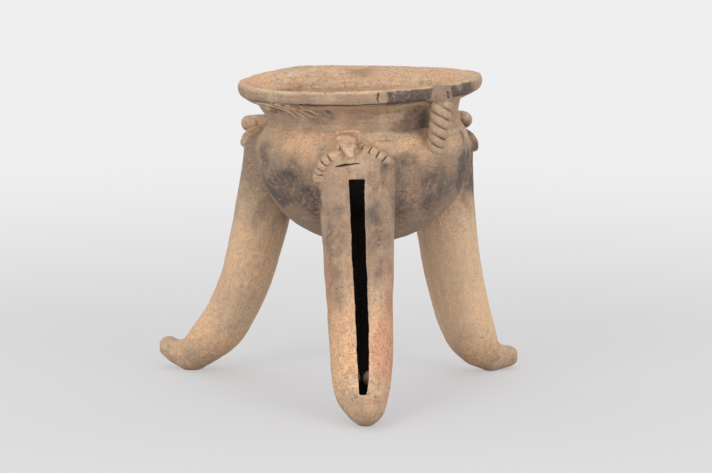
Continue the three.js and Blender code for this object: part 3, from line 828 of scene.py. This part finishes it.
def make_piece(node, distance, pitch, margin=3.0, body="vessel"):
    """A node's visual piece: the distance's surface near the node's box, as a smooth quad mesh."""
    low, high = (np.array(side) * 1000 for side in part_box(node))
    vertices, quads = surface(distance, low - margin, high + margin, pitch)
    vertices, quads = largest_part(vertices, quads)
    a, b, c = (vertices[quads[:, i]] for i in (0, 1, 2))
    volume = np.einsum("ij,ij->i", a, np.cross(b, c)).sum()
    if volume < 0:
        quads = quads[:, ::-1]
    mesh = bpy.data.meshes.new(node + "_clay")
    mesh.vertices.add(len(vertices))
    mesh.vertices.foreach_set("co", (vertices * 0.001).astype(np.float32).ravel())
    mesh.loops.add(quads.size)
    mesh.loops.foreach_set("vertex_index", quads.astype(np.int32).ravel())
    mesh.polygons.add(len(quads))
    mesh.polygons.foreach_set("loop_start", np.arange(0, quads.size, 4, dtype=np.int32))
    mesh.polygons.foreach_set("use_smooth", np.ones(len(quads), bool))
    mesh.update(calc_edges=True)
    mesh.validate()
    piece = new_object(node + "_clay", mesh)
    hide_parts(node)
    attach(piece, body)
    pieces[node] = piece
    return piece


# Paint: where smoke, pale clay and red clay lie, with painted shade and painted light, kept on each mesh as
# colour attributes

# Clouds from the firing, by what they paint: (x, y, z, radius along x, y and z, strength).
SMOKE = [
    (-44, -8, 170, 40, 38, 24, 1.0),
    (-20, -26, 164, 30, 28, 20, 0.9),
    (-62, 4, 194, 12, 22, 20, 0.7),
    (-30, -22, 184, 20, 18, 16, 0.5),
    (76, -22, 168, 46, 44, 30, 0.62),
    (101, 16, 180, 11, 40, 32, 0.95),
    (46, -48, 178, 10, 20, 32, 0.55),
    (58, -42, 200, 12, 12, 8, 0.55),
    (50, -20, 229, 24, 18, 15, 0.75),
    (62, -30, 234, 22, 18, 9, 0.5),
    (-14, -37, 234, 16, 12, 7, 0.5),
    (-70, 24, 230, 12, 26, 16, 0.6),
    (16, 124, 252, 26, 14, 8, 0.5),
    (110, 76, 184, 26, 40, 30, 1.0),
    (-62, 50, 144, 4, 12, 12, 0.4),
    (-68, 50, 130, 4, 12, 12, 0.4),
    (-74, 50, 117, 4, 12, 12, 0.36),
    (60, 116, 196, 50, 30, 30, 0.75),
    (-40, 108, 205, 36, 36, 30, 0.7),
    (-30, 100, 150, 40, 40, 24, 0.65),
    (134, 124, 56, 12, 20, 30, 0.4),
    (-130, 130, 40, 22, 22, 26, 0.35),
    (30, -64, 152, 11, 22, 44, 0.62),
    (30, -74, 126, 9, 22, 18, 0.5),
    (38, -66, 190, 6, 14, 14, 0.6),
    (0, -66, 150, 11, 16, 34, 0.48),
    (3, -78, 106, 9, 18, 28, 0.36),
]
PEACH = [
    # The first two clouds, on the left shoulder, are partly peach clay and partly a painted highlight.
    (-28, -29, 206, 24, 22, 13, 1.0),
    (-34, -30, 200, 16, 20, 12, 1.0),
    (-6, -40, 210, 12, 14, 9, 0.6),
    (62, -38, 205, 28, 20, 12, 0.62),
    (88, -16, 196, 12, 20, 12, 0.6),
    (-6, -50, 232, 50, 34, 9, 0.4),
    (-56, 70, 252, 40, 40, 14, 0.75),
    (84, 60, 252, 44, 56, 14, 0.5),
    (18, 110, 250, 70, 30, 12, 0.4),
    (8, -92, 62, 26, 30, 58, 0.8),
    (-112, 110, 50, 40, 44, 50, 0.8),
    (118, 98, 70, 30, 34, 60, 1.0),
    (36, -88, 84, 14, 22, 26, 1.0),
    (-74, 70, 108, 26, 26, 40, 0.55),
]
ROSE = [
    (38, -98, 56, 12, 30, 40, 1.0),
    (42, -70, 100, 6, 18, 30, 0.6),
    (-6, -72, 122, 5, 18, 36, 0.8),
    (-62, 34, 255, 26, 32, 12, 1.0),
    (-14, -60, 251, 40, 14, 7, 0.3),
    (82, -38, 250, 5, 8, 6, 1.0),
    (104, 92, 90, 16, 20, 50, 0.45),
    (-92, 84, 96, 16, 20, 50, 0.5),
]
# Where a cloud is still whole and where it ends, as shares of its radii
CLOUD_CORE = 0.45
CLOUD_EDGE = 1.25
# How dull the clay is by piece, from 0, fresh buff, to 1, a dirty brown.
DULL = {"neck": 0.5, "rim": 0.24, "head": 0.18, "arm": 0.32, "eye": 0.32, "toe": 0.3,
        "strand": 0.8, "pad": 0.7}
# Along a leg: shares of its length, and how dull each leg is there.
LEG_SHARES = [0, 0.15, 0.42, 0.6, 0.86, 1.0]
LEG_DULL = {
    "front": [0.42, 0.6, 0.36, 0.1, 0.02, 0.6],
    "right": [0.26, 0.12, 0.04, 0.0, 0.0, 0.1],
    "left": [1.0, 0.5, 0.04, 0.0, 0.1, 0.5],
}
# How strongly painted light brightens the rear legs and their toes below the bowl
LEG_PAINTED_LIGHT = {"front": 0.0, "right": 1.0, "left": 0.7}


def painted(points, clouds, seed):
    """How much of a colour lies at each point, with edges that wander as flames do."""
    wander = 0.30 * noise(points, 26, seed) + 0.16 * noise(points, 10, seed + 1)
    wander = wander + 0.08 * noise(points, 4, seed + 2)
    total = np.zeros(len(points), np.float32)
    for *cloud, strength in clouds:
        reach = reach_from(points, cloud[:3], cloud[3:]) + wander
        total = np.maximum(total, strength * step(CLOUD_EDGE, CLOUD_CORE, reach))
    return total


def rim_soot(points):
    """The black fire cloud on the lip's outer face, which starts at a sharp edge."""
    local = VESSEL.local(points)
    angle, radius = polar(local)
    angle = np.degrees(angle)
    wander = noise(points, 9, 51) + 0.5 * noise(points, 3, 52)
    along = step(-78.4, -76.4, angle + 1.4 * wander) * step(-4, -30, angle + 4 * wander)
    along = along * (1 - 0.3 * step(-0.2, 1.0, noise(points, 6, 53)))
    face = step(92.0, 95.0, radius) * step(256.2, 254.8, local[:, 2] + 0.5 * wander)
    return 0.9 * along * face * step(241.5, 244.5, local[:, 2] + wander)


def bowl_dull(points):
    """The bowl's clay is duller below its shoulder."""
    return np.interp(points[:, 2], [190, 205, 214], [0.8, 0.42, 0.3])


def dullness(node, points):
    """Dullness at each point, and painted shade where it lies inside a hollow leg or in the front figure's
    incised line: legs are dull at the hip and the foot.
    """
    none = np.zeros(len(points))
    if node.endswith("_leg"):
        leg = LEG[node.split("_")[0]]
        places = leg.places(points)
        at = places[0]
        dull = np.interp(at, LEG_SHARES, LEG_DULL[leg.name])
        on_bowl = step(7, 1, filled_bowl(points))
        dull = dull * (1 - on_bowl) + bowl_dull(points) * on_bowl
        # Painted shade inside the leg's hollow, and in the line cut under the front figure's chin.
        inside = step(-2.2, -4.2, leg.tube(places)) * step(0.99, 0.95, at)
        if leg.name == "front":
            inside = np.maximum(inside, step(0.3, -0.4, front_cut(points)) * step(-3, -1.5, leg.tube(places)))
        return dull, inside
    if node == "bowl":
        # Painted shade on the bowl's wall where it lies inside a hollow leg.
        inside = sum(step(-4, -7, leg.body(points)) for leg in LEG.values())
        return bowl_dull(points), inside * step(-5, -2.5, filled_bowl(points))
    if node.endswith("foot_pad"):
        return bowl_dull(points), none
    if node == "rim":
        local = VESSEL.local(points)
        outer = step(91, 95, polar(local)[1]) * step(256, 253, local[:, 2])
        return DULL["rim"] + 0.3 * outer, none
    return none + next(dull for word, dull in DULL.items() if word in node), none


def grain_of(node, points):
    """Along and across the way the piece was smoothed, in mm."""
    name = node.split("_")[0]
    if node.endswith("_leg"):
        at, past, out, side = LEG[name].places(points)
        angle = np.arctan2(side, out)
        return np.stack([at * 190 + past, angle * 22, np.zeros(len(points))], 1)
    local = VESSEL.local(points)
    angle, radius = polar(local)
    return np.stack([angle * 85, local[:, 2], radius], 1)


def paint(node, piece):
    """Store a piece's paint as colour attributes, and the way of its grain."""
    mesh = piece.data
    count = len(mesh.vertices)
    points = np.empty(count * 3, np.float32)
    mesh.vertices.foreach_get("co", points)
    points = points.reshape(-1, 3) * 1000
    ones = np.ones(count, np.float32)
    smoke = in_chunks(lambda p: painted(p, SMOKE, 21), points)
    soot = in_chunks(rim_soot, points) * (1.0 if node == "rim" else 0.3)
    peach = in_chunks(lambda p: painted(p, PEACH, 31), points)
    rose = in_chunks(lambda p: painted(p, ROSE, 41), points)
    dull, inside = dullness(node, points)
    painted_shade, pale_tone_and_painted_light = np.zeros(count), np.zeros(count)
    if node in ("neck", "rim"):
        painted_shade, pale_tone_and_painted_light = painted_shade_and_pale(points)
    elif node.endswith(("_leg", "_toe")):
        height = points[:, 2]
        # Painted light on the rear legs and toes below the bowl.
        pale_tone_and_painted_light = LEG_PAINTED_LIGHT[node.split("_")[0]] * step(170, 110, height) * step(0, 50, height)
    elif "strand" in node:
        pale_tone_and_painted_light = np.full(count, 0.45)
    titles = {"fired": (smoke, peach, rose, ones), "dull_soot_and_painted_shade": (dull, inside, soot, ones),
              "painted_shade_and_pale": (painted_shade, pale_tone_and_painted_light, painted_shade, ones)}
    for title, layers in titles.items():
        colour = mesh.color_attributes.new(title, "FLOAT_COLOR", "POINT")
        colour.data.foreach_set("color", np.stack(layers, 1).astype(np.float32).ravel())
    grain = mesh.attributes.new("grain", "FLOAT_VECTOR", "POINT")
    grain.data.foreach_set("vector", grain_of(node, points).astype(np.float32).ravel())


# Materials

class Nodes:
    """Short words for building the nodes of a material or a world."""

    def __init__(self, owner):
        owner.use_nodes = True
        self.owner = owner
        self.tree = owner.node_tree
        self.shader = self.tree.nodes.get("Principled BSDF")

    def add(self, kind, **settings):
        node = self.tree.nodes.new(kind)
        for key, value in settings.items():
            setattr(node, key, value)
        return node

    def link(self, source, target):
        self.tree.links.new(source, target)

    def put(self, socket, value):
        if hasattr(value, "is_output"):
            self.link(value, socket)
        else:
            socket.default_value = value

    def place(self, size=1.0, attribute=None, stretch=(1, 1, 1)):
        """Object space in millimetres, or a stored attribute, over a size."""
        if attribute:
            source = self.add("ShaderNodeAttribute", attribute_name=attribute).outputs["Vector"]
            scale = [s / size for s in stretch]
        else:
            source = self.add("ShaderNodeTexCoord").outputs["Object"]
            scale = [1000 * s / size for s in stretch]
        return self.fill(self.add("ShaderNodeMapping"), {"Scale": scale, "Vector": source})["Vector"]

    def fill(self, node, inputs):
        """Give a node its inputs, by socket, as values or links."""
        for socket, value in inputs.items():
            self.put(node.inputs[socket], value)
        return node.outputs

    def noise(self, where, detail=3.0, roughness=0.55, distortion=0.0):
        return self.fill(self.add("ShaderNodeTexNoise"), {
            "Vector": where, "Scale": 1.0, "Detail": detail, "Roughness": roughness,
            "Distortion": distortion})["Fac"]

    def cells(self, where):
        return self.fill(self.add("ShaderNodeTexVoronoi"), {"Vector": where, "Scale": 1.0})["Distance"]

    def ramp(self, value, low, high, out_low=0.0, out_high=1.0):
        node = self.add("ShaderNodeMapRange", interpolation_type="SMOOTHSTEP")
        return self.fill(node, {"Value": value, "From Min": low, "From Max": high,
                                "To Min": out_low, "To Max": out_high})["Result"]

    def math(self, operation, a, b):
        return self.fill(self.add("ShaderNodeMath", operation=operation), {0: a, 1: b})[0]

    def times(self, a, b):
        return self.math("MULTIPLY", a, b)

    def plus(self, a, b):
        return self.math("ADD", a, b)

    def bump(self, height, distance):
        bumped = self.fill(self.add("ShaderNodeBump"), {"Distance": distance, "Height": height})
        self.link(bumped["Normal"], self.shader.inputs["Normal"])

    def coat(self, share, *tone):
        """Lay a tone over the colour so far."""
        self.colour = self.mix(share, self.colour, srgb(*tone))

    def surface(self, roughness, specular):
        self.link(self.colour, self.shader.inputs["Base Color"])
        self.put(self.shader.inputs["Roughness"], roughness)
        self.shader.inputs["Specular IOR Level"].default_value = specular

    def mix(self, share, a, b, blend="MIX"):
        node = self.add("ShaderNodeMix", data_type="RGBA", blend_type=blend)
        self.put(node.inputs["Factor"], share)
        for socket, value in (("A", a), ("B", b)):
            target = [s for s in node.inputs if s.name == socket and s.type == "RGBA"][0]
            self.put(target, value)
        return [s for s in node.outputs if s.type == "RGBA"][0]


def srgb(red, green, blue):
    """A colour as seen in the photograph, in the linear values that a shader takes."""
    values = []
    for value in (red, green, blue):
        value /= 255
        values.append(value / 12.92 if value <= 0.04045 else ((value + 0.055) / 1.055) ** 2.4)
    return (*values, 1.0)


def fired_clay():
    """Buff clay with clouds of smoke, peach and rose, pits, dust and fine scratches, painted shade in
    creases, tears and hollows, and painted light on lifted edges and the rear legs.
    """
    n = Nodes(bpy.data.materials.new("fired_clay"))

    def layers(name):
        split = n.add("ShaderNodeSeparateColor")
        n.link(n.add("ShaderNodeAttribute", attribute_name=name).outputs["Color"], split.inputs["Color"])
        return split.outputs

    smoke, peach, rose = layers("fired")
    dull, inside, soot = layers("dull_soot_and_painted_shade")
    painted_shade, pale_tone_and_painted_light = layers("painted_shade_and_pale")[:2]
    broad = n.noise(n.place(40), 4, 0.6, 0.4)
    middle = n.noise(n.place(12), 6, 0.66, 0.3)
    small = n.noise(n.place(4.2), 5, 0.66)
    fine = n.noise(n.place(1.7), 4, 0.62)
    streak = n.noise(n.place(6, "grain", (0.1, 1.3, 1.0)), 5, 0.62, 0.15)

    speckle = n.plus(n.times(middle, 0.38), n.times(small, 0.34))
    speckle = n.math("SUBTRACT", n.plus(speckle, n.times(fine, 0.28)), 0.5)

    def stippled(amount, soft, grain):
        """An amount with a wandering, speckled edge."""
        value = n.plus(amount, n.times(speckle, grain))
        return n.times(n.ramp(value, 0.5 - soft, 0.5 + soft), n.ramp(amount, 0.0, 0.1))

    n.colour = n.mix(n.ramp(broad, 0.34, 0.66), srgb(206, 172, 141), srgb(220, 188, 156))
    n.coat(n.ramp(streak, 0.50, 0.68, 0, 0.6), 232, 205, 173)
    n.coat(n.ramp(streak, 0.48, 0.34, 0, 0.45), 176, 146, 120)
    warm = n.noise(n.place(15, "grain", (0.35, 1.0, 1.0)), 5, 0.62, 0.3)
    n.coat(n.ramp(warm, 0.50, 0.64, 0, 0.55), 222, 172, 132)
    n.coat(n.ramp(warm, 0.46, 0.34, 0, 0.4), 186, 164, 142)
    n.coat(n.times(stippled(peach, 0.34, 1.8), 0.88), 238, 192, 150)
    n.coat(n.times(stippled(rose, 0.36, 1.6), 0.8), 222, 164, 132)
    n.coat(n.times(stippled(dull, 0.3, 2.2), 0.84), 144, 126, 110)
    soot_tone = n.mix(n.ramp(small, 0.35, 0.65), srgb(80, 71, 67), srgb(108, 96, 89))
    n.colour = n.mix(n.times(stippled(smoke, 0.38, 2.2), 0.92), n.colour, soot_tone)
    rust = n.ramp(n.noise(n.place(2.4), 5, 0.8), 0.47, 0.58)
    rust = n.times(rust, n.ramp(n.plus(smoke, dull), 0.3, 1.0))
    rust = n.times(rust, n.ramp(n.noise(n.place(22), 3), 0.40, 0.56))
    n.coat(n.times(rust, 0.55), 196, 154, 122)
    n.colour = n.mix(n.times(stippled(soot, 0.34, 1.6), 0.9), n.colour, soot_tone)

    shade = n.plus(n.times(fine, 0.55), n.times(small, 0.45))
    grey = n.mix(n.ramp(shade, 0.32, 0.66), srgb(190, 182, 175), srgb(255, 255, 255))
    n.colour = n.mix(1.0, n.colour, grey, "MULTIPLY")
    specks = n.ramp(n.noise(n.place(1.5), 2, 0.5), 0.64, 0.74)
    n.coat(n.times(specks, 0.22), 104, 84, 72)
    pits = n.ramp(n.cells(n.place(4.2)), 0.15, 0.06)
    pit_here = n.times(pits, n.ramp(n.noise(n.place(9), 2), 0.52, 0.6))
    n.coat(n.times(pit_here, 0.8), 66, 54, 47)
    scratch = n.ramp(n.noise(n.place(1.8, "grain", (0.07, 1.0, 1.0)), 4, 0.66), 0.62, 0.70, 0, 0.22)
    n.coat(scratch, 120, 98, 82)
    dust = n.ramp(n.noise(n.place(4.6), 6, 0.78), 0.56, 0.68, 0, 0.36)
    n.coat(dust, 214, 196, 174)

    bend = n.add("ShaderNodeNewGeometry").outputs["Pointiness"]
    n.coat(n.ramp(bend, 0.52, 0.60, 0, 0.4), 226, 200, 172)
    # Painted shade darkening the concave creases.
    n.coat(n.ramp(bend, 0.485, 0.42, 0, 0.75), 66, 54, 47)
    # Painted light on the rear legs, a painted highlight on lifted skin edges and a pale tone on the strands,
    # then painted shade in tears, folds, breaks and beside the rope.
    n.coat(n.times(pale_tone_and_painted_light, 0.5), 234, 202, 166)
    n.coat(n.times(painted_shade, 0.85), 72, 60, 52)
    # Painted shade inside the hollow legs and in the incised line.
    n.coat(inside, 40, 33, 29)
    n.surface(n.ramp(shade, 0.35, 0.65, 0.55, 0.8), 0.34)

    height = n.times(n.noise(n.place(0.9), 3, 0.6), 0.22)
    raised = ((fine, 0.4), (middle, 0.6), (streak, 0.7), (pit_here, -0.7), (specks, -0.2), (scratch, -0.6))
    for part, amount in raised:
        height = n.plus(height, n.times(part, amount))
    n.bump(height, 0.0014)
    return n.owner


def pellet_clay():
    """The plain clay of the loose pellets."""
    n = Nodes(bpy.data.materials.new("pellet_clay"))
    fine = n.noise(n.place(1.4), 4, 0.65)
    broad = n.noise(n.place(6), 3, 0.6)
    n.colour = n.mix(n.ramp(broad, 0.4, 0.65), srgb(188, 158, 130), srgb(160, 132, 110))
    n.coat(n.ramp(fine, 0.55, 0.75, 0, 0.6), 214, 184, 154)
    n.surface(n.ramp(fine, 0.3, 0.7, 0.7, 0.9), 0.3)
    n.bump(fine, 0.0005)
    return n.owner


# The pieces

def pellet_distance(centre, points):
    q = points - np.asarray(centre, np.float32)
    return np.linalg.norm(q, axis=1) - PELLET_RADIUS + 0.12 + 0.25 * noise(points, 5, 14)


clay = fired_clay()
make_piece("bowl", partial(wall_piece, 0, 221.7), 1.0)
make_piece("neck", partial(wall_piece, 220.9, 239.3), 0.65)
make_piece("rim", partial(wall_piece, 238.5, 999), 0.65)
for name in LEGS:
    fine = 0.7 if name == "front" else 0.9
    make_piece(f"{name}_leg", partial(leg_distance, name), fine, margin=7)
    make_piece(f"{name}_toe", partial(toe_distance, name), 0.7)
    make_piece(f"{name}_head", partial(head_distance, name), 0.55)
    for side_name, sign in (("left", -1), ("right", 1)):
        make_piece(f"{name}_eye_{side_name}", partial(eye_distance, name, sign), 0.4, margin=4)
        make_piece(f"{name}_arm_{side_name}", partial(arm_distance, name, side_name), 0.5, margin=4)
for name in HANDLES:
    for letter, phase in (("a", 0.0), ("b", math.pi)):
        make_piece(f"{name}_handle_strand_{letter}", partial(strand_distance, name, phase), 0.5)
    for end in ("top", "foot"):
        make_piece(f"{name}_handle_{end}_pad", partial(pad_distance, name, end == "top"), 0.6, margin=6)
for node, piece in pieces.items():
    paint(node, piece)
    piece.data.materials.append(clay)

rattle = pellet_clay()
for name in LEGS:
    for side_name in ("left", "right"):
        node = f"{name}_pellet_{side_name}"
        low, high = (np.array(side) * 1000 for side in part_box(node))
        pellet = make_piece(node, partial(pellet_distance, (low + high) / 2), 0.5, body=node)
        pellet.data.materials.append(rattle)

# Floor, lights and camera

FLOOR_RADIUS = 14
LIGHT_LEVEL = 0.66
BACKDROP = 0.88


def looked_at(n):
    """1 where a ray comes from the camera, a mirror or glass, and 0 where it only lights something."""
    path = n.add("ShaderNodeLightPath").outputs
    mirrored = n.math("MAXIMUM", path["Is Glossy Ray"], path["Is Transmission Ray"])
    return n.math("MAXIMUM", path["Is Camera Ray"], mirrored)


def paper():
    """Pale paper, painted whiter away from the vessel as painted light, with half of its tone in every
    shadow.
    """
    n = Nodes(bpy.data.materials.new("paper"))
    distance = n.add("ShaderNodeVectorMath", operation="LENGTH")
    n.link(n.add("ShaderNodeTexCoord").outputs["Object"], distance.inputs[0])
    # The paper's colour and glow grow brighter with distance from the vessel: a painted fall of light.
    away = n.ramp(distance.outputs["Value"], 0.1, 1.7)
    n.colour = n.mix(away, srgb(198, 197, 198), srgb(236, 235, 236))
    n.surface(0.9, 0.1)
    seen = n.add("ShaderNodeEmission")
    n.link(n.mix(away, srgb(231, 230, 231), srgb(241, 240, 241)), seen.inputs["Color"])
    share = n.times(looked_at(n), n.ramp(away, 0, 1, 0.5, 0.94))
    both = n.fill(n.add("ShaderNodeMixShader"), {0: share, 1: n.shader.outputs[0], 2: seen.outputs[0]})
    n.link(both[0], n.tree.nodes["Material Output"].inputs["Surface"])
    return n.owner


def floor():
    """A wide round sheet of paper."""
    turns = np.linspace(0, 2 * math.pi, 97)[:-1]
    mesh = bpy.data.meshes.new("floor")
    edge = [(FLOOR_RADIUS * math.cos(a), FLOOR_RADIUS * math.sin(a), 0) for a in turns]
    mesh.from_pydata(edge, [], [tuple(range(len(edge)))])
    obj = new_object("floor", mesh)
    mesh.materials.append(paper())


def softbox(name, place, target, size, power):
    """A square lamp of a width in metres and a power in watts, turned to its target."""
    light = bpy.data.lights.new(name, "AREA")
    light.size = size
    light.energy = power
    obj = new_object(name, light)
    obj.location = place
    way = unit(np.array(target) - np.array(place))
    yaw = math.atan2(way[0], -way[1])
    pitch = math.acos(max(-1.0, min(1.0, -way[2])))
    obj.rotation_euler = (pitch, 0, yaw + math.pi)


floor()
softbox("key", (-1.4, -1.9, 1.35), (0, 0, 0.1), 1.3, 27)
softbox("fill", (1.6, -1.8, 1.2), (0, 0, 0.1), 1.3, 24)
softbox("top", (0.0, 0.4, 2.2), (0, 0.1, 0.1), 2.2, 10)

scene = bpy.context.scene
world = bpy.data.worlds.new("studio")
n = Nodes(world)
sky = n.tree.nodes["Background"]
sky.inputs["Color"].default_value = (1, 1, 1, 1)
n.link(n.ramp(looked_at(n), 0, 1, LIGHT_LEVEL, BACKDROP), sky.inputs["Strength"])
scene.world = world
scene.view_settings.view_transform = "Standard"

# The photograph's camera: its distance, its height over the vessel in degrees, and its focal length and
# the picture's width in pixels
CAMERA_AWAY = 2.63
CAMERA_RISE = 9
FOCAL_LENGTH = 3213
PICTURE_WIDTH = 712
FILM_WIDTH = 36.0

camera_data = bpy.data.cameras.new("camera")
camera_data.sensor_width = FILM_WIDTH
camera_data.lens = FOCAL_LENGTH / PICTURE_WIDTH * FILM_WIDTH
camera_data.clip_end = 50
camera = new_object("camera", camera_data)
aim = np.array([0.015, 0.038, 0.1261])
rise = math.radians(CAMERA_RISE)
camera.location = aim - CAMERA_AWAY * np.array([0, math.cos(rise), -math.sin(rise)])
camera.rotation_euler = (math.radians(90 - CAMERA_RISE), 0, 0)
scene.camera = camera
